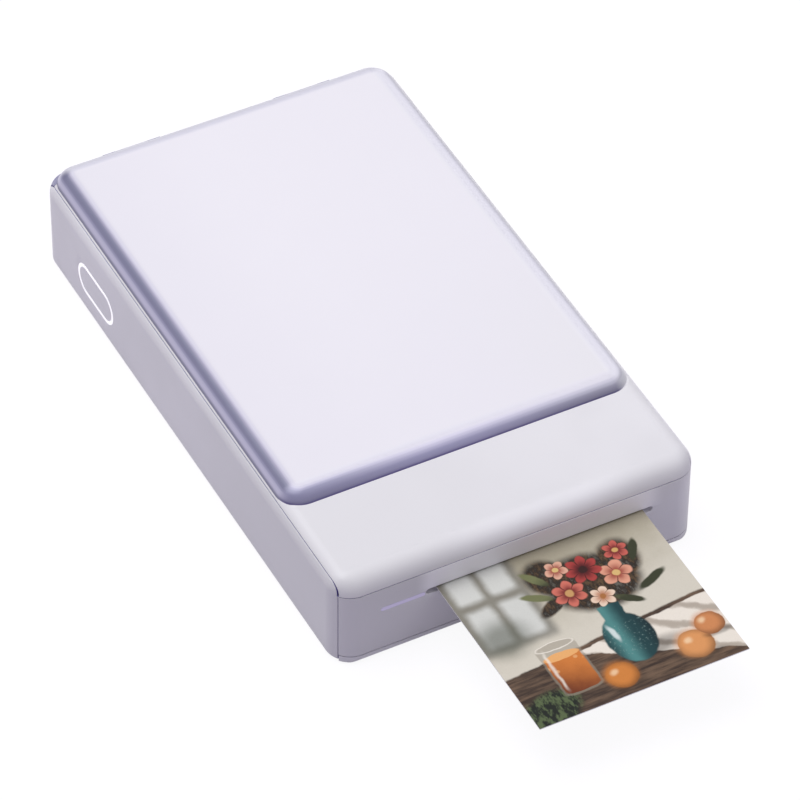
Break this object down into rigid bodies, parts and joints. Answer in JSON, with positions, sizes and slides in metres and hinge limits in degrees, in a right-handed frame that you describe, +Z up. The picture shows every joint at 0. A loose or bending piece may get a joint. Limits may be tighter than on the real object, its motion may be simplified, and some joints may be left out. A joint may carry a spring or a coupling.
{
  "type": "compact photo printer",
  "caption": "Flat pocket photo printer with a hinged top cover over its paper bay, a side power button and a front slot with a print coming out.",
  "frame": {"origin": "centre of the footprint that the body and its sheet cover together, on the surface the feet stand on", "axes": "+X to the printer's right seen from the front, -Y out of the exit slot in the front face, +Y to the hinge at the back, +Z up"},
  "size_m": [0.089, 0.1962, 0.0265],
  "materials": {
    "shell_plastic": "satin",
    "panel_plastic": "satin",
    "pearl_plastic": "pearl",
    "black_plastic": "moulded",
    "white_plastic": "gloss",
    "light_guide": "gloss",
    "acetal": "moulded",
    "steel": "zinc plated",
    "spring_steel": "bright",
    "magnet_nickel": "nickel",
    "brass": "machined",
    "black_rubber": "matte",
    "head_ceramic": "glazed",
    "aluminium": "extruded",
    "cell_wrap": "film",
    "circuit_board": "solder mask",
    "chip_black": "moulded",
    "cork_pad": "rough",
    "photo_paper": "glossy print"
  },
  "bodies": {
    "printer_body": {"bottom_shell": "shell_plastic", "top_deck": "shell_plastic", "left_side_panel": "panel_plastic", "right_side_panel": "panel_plastic", "front_panel": "panel_plastic", "rear_panel": "panel_plastic", "rubber_feet": "black_rubber", "case_screws": "steel", "deck_magnets": "magnet_nickel", "hinge_pins": "steel", "paper_tray": "black_plastic", "tray_screws": "steel", "separation_pad": "cork_pad", "chassis": "steel", "chassis_screws": "steel", "motor_bracket": "steel", "feed_motor": "steel", "gear_pins": "steel", "shaft_bushes": "acetal", "head_pivots": "steel", "head_springs": "spring_steel", "paper_guides": "black_plastic", "battery_pack": "cell_wrap", "main_board": "circuit_board", "board_chips": "chip_black", "usb_socket": "steel", "power_switch": "black_plastic", "power_ring": "white_plastic", "status_light": "light_guide", "light_board": "circuit_board"},
    "cover": {"cover_shell": "pearl_plastic", "cover_liner": "shell_plastic", "liner_screws": "steel", "cover_magnets": "magnet_nickel", "paper_springs": "spring_steel"},
    "button": {"power_button": "panel_plastic"},
    "print": {"print_sheet": "photo_paper"},
    "platen": {"platen_shaft": "steel", "platen_sleeve": "black_rubber", "platen_gear": "acetal"},
    "pickup": {"pickup_shaft": "steel", "pickup_tyres": "black_rubber", "pickup_gear": "acetal"},
    "transfer": {"transfer_gear": "acetal"},
    "drive": {"drive_gear": "acetal"},
    "motor_rotor": {"motor_pinion": "brass"},
    "head": {"print_head": "head_ceramic", "head_heatsink": "aluminium", "head_bracket": "steel"}
  },
  "joints": [
    {"name": "cover_hinge", "type": "hinge", "parent": "printer_body", "child": "cover", "pos_m": [0, 0.09627, 0.0237], "axis": [-1, 0, 0], "range_deg": [0, 100]},
    {"name": "power_button_press", "type": "slide", "parent": "printer_body", "child": "button", "axis": [1, 0, 0], "range_m": [0, 0.0004], "stiffness_N_per_m": 400},
    {"name": "sheet_feed", "type": "slide", "parent": "printer_body", "child": "print", "axis": [0, -1, 0], "range_m": [-0.046, 0.012]},
    {"name": "platen_spin", "type": "hinge", "parent": "printer_body", "child": "platen", "pos_m": [0, -0.03392, 0.01088], "axis": [1, 0, 0], "range_deg": [-740, 200]},
    {"name": "pickup_spin", "type": "hinge", "parent": "printer_body", "child": "pickup", "pos_m": [0, -0.00893, 0.01088], "axis": [1, 0, 0], "range_deg": [-740, 200]},
    {"name": "transfer_spin", "type": "hinge", "parent": "printer_body", "child": "transfer", "pos_m": [0, -0.02142, 0.01088], "axis": [1, 0, 0], "range_deg": [-135, 495]},
    {"name": "drive_spin", "type": "hinge", "parent": "printer_body", "child": "drive", "pos_m": [0, -0.04162, 0.00867], "axis": [1, 0, 0], "range_deg": [-325, 1230]},
    {"name": "motor_spin", "type": "hinge", "parent": "printer_body", "child": "motor_rotor", "pos_m": [0, -0.03391, 0.01227], "axis": [1, 0, 0], "range_deg": [-2245, 590]},
    {"name": "head_pivot", "type": "hinge", "parent": "printer_body", "child": "head", "pos_m": [0, -0.02343, 0.01701], "axis": [-1, 0, 0], "range_deg": [0, 2.5], "stiffness_Nm_per_rad": 0.02, "springref_deg": -5.73, "deforming": ["head_springs"]}
  ],
  "couplings": [
    {"joint": "platen_spin", "follows": "sheet_feed", "rad_per_m": 277.78},
    {"joint": "pickup_spin", "follows": "sheet_feed", "rad_per_m": 277.78},
    {"joint": "transfer_spin", "follows": "sheet_feed", "rad_per_m": -185.19},
    {"joint": "drive_spin", "follows": "sheet_feed", "rad_per_m": -462.96},
    {"joint": "motor_spin", "follows": "sheet_feed", "rad_per_m": 848.77}
  ]
}
